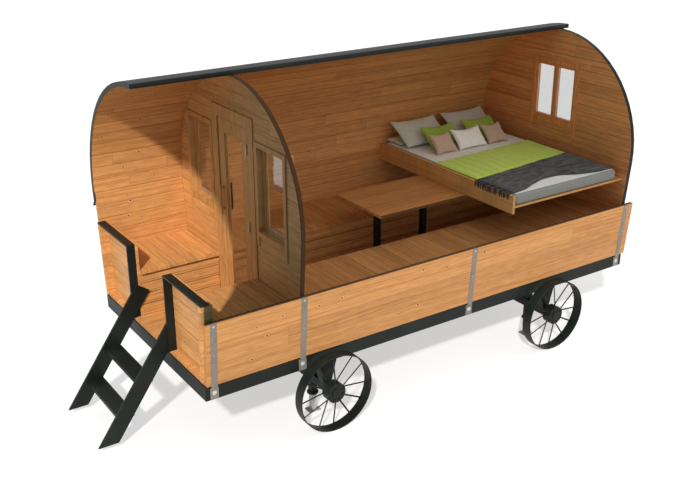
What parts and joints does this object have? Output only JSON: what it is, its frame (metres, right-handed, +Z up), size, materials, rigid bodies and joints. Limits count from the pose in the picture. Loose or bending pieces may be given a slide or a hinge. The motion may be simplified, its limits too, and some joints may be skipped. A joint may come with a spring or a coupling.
{
  "type": "covered wagon",
  "caption": "Covered camping wagon with a barrel shell cut open along one side, porch with steps, glazed door, benches, table, bed and spoked wheels.",
  "frame": {"origin": "on the ground under the middle of the overall box", "axes": "+X towards the rear, +Z up, -Y is the near side with its wall cut down to sill height"},
  "size_m": [5.743, 2.424, 3.0803],
  "materials": {
    "pine": "planed and oiled pine boards with knots",
    "roofing": "dark roofing felt",
    "black_steel": "satin black paint",
    "galvanised": "dull zinc",
    "glass": "clear",
    "mattress_cloth": "woven cover",
    "pillow_cloth": "plain weave",
    "green_cloth": "quilted cotton",
    "charcoal_cloth": "loose knit"
  },
  "bodies": {
    "wagon": {"floor_boards": "pine", "far_side_boards": "pine", "near_side_boards": "pine", "roof_staves": "pine", "partition": "pine", "rear_wall": "pine", "window_sashes": "pine", "rear_window_frame": "pine", "door_frame": "pine", "porch_panels": "pine", "porch_bench_seats": "pine", "porch_bench_fronts": "pine", "cabin_bench_seats": "pine", "cabin_bench_fronts": "pine", "table_top": "pine", "bed_frame": "pine", "roof_covering": "roofing", "drip_trim": "black_steel", "edge_trim": "black_steel", "window_panes": "glass", "rear_window_panes": "glass", "side_rails": "black_steel", "end_beams": "black_steel", "floor_joists": "black_steel", "front_axle": "black_steel", "rear_axle": "black_steel", "axle_hangers": "black_steel", "jack_sleeves": "black_steel", "porch_rails": "black_steel", "stair_stringers": "black_steel", "stair_treads": "black_steel", "table_legs": "black_steel", "near_straps": "galvanised", "far_straps": "galvanised", "mattress": "mattress_cloth", "pillows": "pillow_cloth", "blanket": "green_cloth", "throw": "charcoal_cloth"},
    "front_near_wheel": {"front_near_wheel": "black_steel"},
    "front_near_jack": {"front_near_jack_leg": "galvanised"},
    "front_far_wheel": {"front_far_wheel": "black_steel"},
    "front_far_jack": {"front_far_jack_leg": "galvanised"},
    "rear_near_wheel": {"rear_near_wheel": "black_steel"},
    "rear_near_jack": {"rear_near_jack_leg": "galvanised"},
    "rear_far_wheel": {"rear_far_wheel": "black_steel"},
    "rear_far_jack": {"rear_far_jack_leg": "galvanised"},
    "door": {"door_leaf": "pine", "door_glass": "glass", "door_handle": "pine", "door_hinges": "galvanised"}
  },
  "joints": [
    {"name": "door_hinge", "type": "hinge", "parent": "wagon", "child": "door", "pos_m": [-1.2658, -0.2767, 1.7], "axis": [0, 0, 1], "range_deg": [0, 90]},
    {"name": "front_near_wheel_spin", "type": "hinge", "parent": "wagon", "child": "front_near_wheel", "pos_m": [-0.9525, -1.1585, 0.373], "axis": [0, 1, 0], "continuous": true},
    {"name": "front_far_wheel_spin", "type": "hinge", "parent": "wagon", "child": "front_far_wheel", "pos_m": [-0.9525, 1.1585, 0.373], "axis": [0, 1, 0], "continuous": true},
    {"name": "rear_near_wheel_spin", "type": "hinge", "parent": "wagon", "child": "rear_near_wheel", "pos_m": [1.7645, -1.1585, 0.373], "axis": [0, 1, 0], "continuous": true},
    {"name": "rear_far_wheel_spin", "type": "hinge", "parent": "wagon", "child": "rear_far_wheel", "pos_m": [1.7645, 1.1585, 0.373], "axis": [0, 1, 0], "continuous": true},
    {"name": "front_near_jack_slide", "type": "slide", "parent": "wagon", "child": "front_near_jack", "axis": [0, 0, 1], "range_m": [0, 0.16]},
    {"name": "front_far_jack_slide", "type": "slide", "parent": "wagon", "child": "front_far_jack", "axis": [0, 0, 1], "range_m": [0, 0.16]},
    {"name": "rear_near_jack_slide", "type": "slide", "parent": "wagon", "child": "rear_near_jack", "axis": [0, 0, 1], "range_m": [0, 0.16]},
    {"name": "rear_far_jack_slide", "type": "slide", "parent": "wagon", "child": "rear_far_jack", "axis": [0, 0, 1], "range_m": [0, 0.16]}
  ]
}
